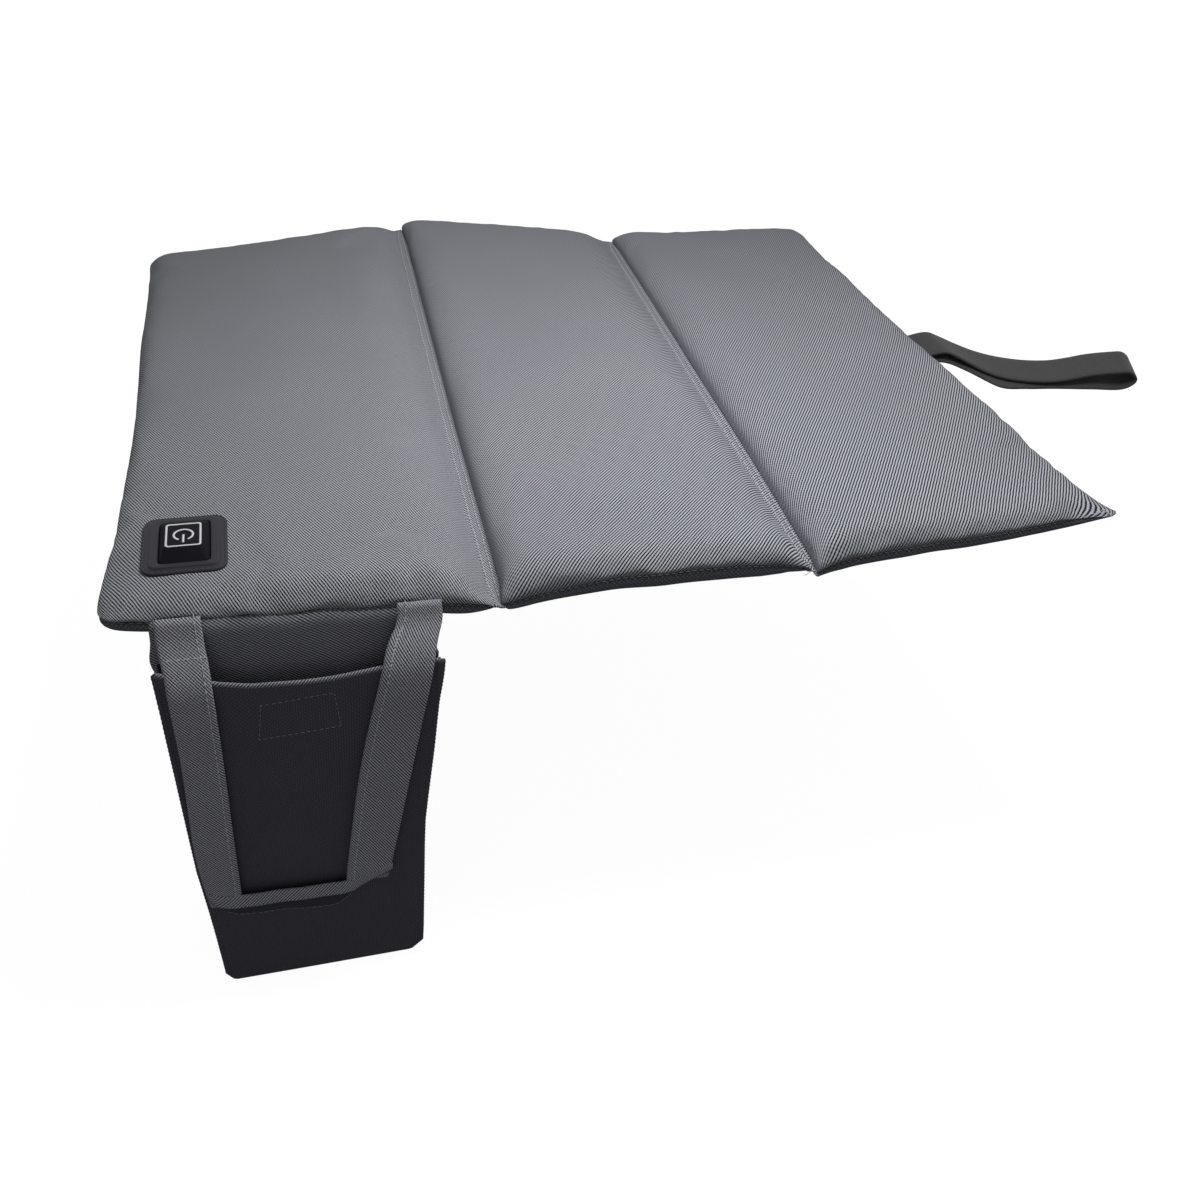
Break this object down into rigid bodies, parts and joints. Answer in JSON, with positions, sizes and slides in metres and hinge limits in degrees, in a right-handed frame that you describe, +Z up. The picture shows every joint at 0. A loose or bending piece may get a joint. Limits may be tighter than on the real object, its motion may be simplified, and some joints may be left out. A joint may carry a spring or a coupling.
{
  "type": "heated seat pad",
  "caption": "Folding heated seat pad of padded grey cloth panels, with a power button, a battery pouch hanging from its front seam, a carry handle and an elastic closing loop.",
  "frame": {"origin": "middle of the middle panel's underside, where the pad rests on the seat", "axes": "+X across the panels from the left panel to the right one, +Y from the front edge with the pouch to the back edge, +Z up out of the seat"},
  "size_m": [0.5053, 0.3686, 0.1991],
  "materials": {
    "pad_cloth": "woven polyester, matte",
    "foam": "open-cell foam",
    "carrier_felt": "thin non-woven felt",
    "heating_wire": "silicone-coated wire",
    "bezel_silicone": "moulded silicone, matte",
    "cap_silicone": "moulded silicone, satin",
    "dark_plastic": "moulded plastic",
    "circuit_board": "lacquered board",
    "switch_steel": "plated steel",
    "lamp_lens": "clear resin",
    "lead_jacket": "cable jacket",
    "pouch_cloth": "coated woven polyester",
    "fastener_tape": "hook and loop tape",
    "handle_cloth": "woven polyester, matte",
    "elastic_band": "woven elastic"
  },
  "bodies": {
    "middle": {"middle_top_cover": "pad_cloth", "middle_bottom_cover": "pad_cloth", "middle_foam": "foam", "middle_heat_carrier": "carrier_felt", "middle_heating_wire": "heating_wire", "left_fold_strip": "pad_cloth", "right_fold_strip": "pad_cloth"},
    "left": {"left_top_cover": "pad_cloth", "left_bottom_cover": "pad_cloth", "left_foam": "foam", "left_heat_carrier": "carrier_felt", "left_heating_wire": "heating_wire", "switch_bezel": "bezel_silicone", "switch_tray": "dark_plastic", "switch_board": "circuit_board", "tact_switch": "switch_steel", "status_lamp": "lamp_lens", "switch_lead": "lead_jacket", "heater_lead": "lead_jacket"},
    "right": {"right_top_cover": "pad_cloth", "right_bottom_cover": "pad_cloth", "right_foam": "foam", "right_heat_carrier": "carrier_felt", "right_heating_wire": "heating_wire"},
    "pouch": {"pouch_back_panel": "pouch_cloth", "pouch_gusset": "pouch_cloth", "pouch_front_panel": "pouch_cloth", "loop_tape_patch": "fastener_tape", "hook_tape_patch": "fastener_tape", "lead_eyelet": "bezel_silicone"},
    "handle": {"carry_handle": "handle_cloth"},
    "loop": {"elastic_loop": "elastic_band"},
    "button": {"switch_cap": "cap_silicone", "switch_plunger": "dark_plastic"}
  },
  "joints": [
    {"name": "fold_left", "type": "hinge", "parent": "middle", "child": "left", "pos_m": [-0.0665, 0, -0.0005], "axis": [0, -1, 0], "range_deg": [0, 180]},
    {"name": "fold_right", "type": "hinge", "parent": "middle", "child": "right", "pos_m": [0.0665, 0, 0.0141], "axis": [0, -1, 0], "range_deg": [0, 180]},
    {"name": "pouch_swing", "type": "hinge", "parent": "left", "child": "pouch", "pos_m": [-0.1405, -0.1759, 0.0052], "axis": [-1, 0, 0], "range_deg": [0, 90]},
    {"name": "handle_swing", "type": "hinge", "parent": "pouch", "child": "handle", "pos_m": [-0.1405, -0.1781, 0.0052], "axis": [-1, 0, 0], "range_deg": [0, 75]},
    {"name": "loop_swing", "type": "hinge", "parent": "right", "child": "loop", "pos_m": [0.1928, 0.003, 0.0069], "axis": [0, 1, 0], "range_deg": [-90, 0]},
    {"name": "button_press", "type": "slide", "parent": "left", "child": "button", "axis": [0, 0, -1], "range_m": [0, 0.0008], "stiffness_N_per_m": 1500}
  ]
}
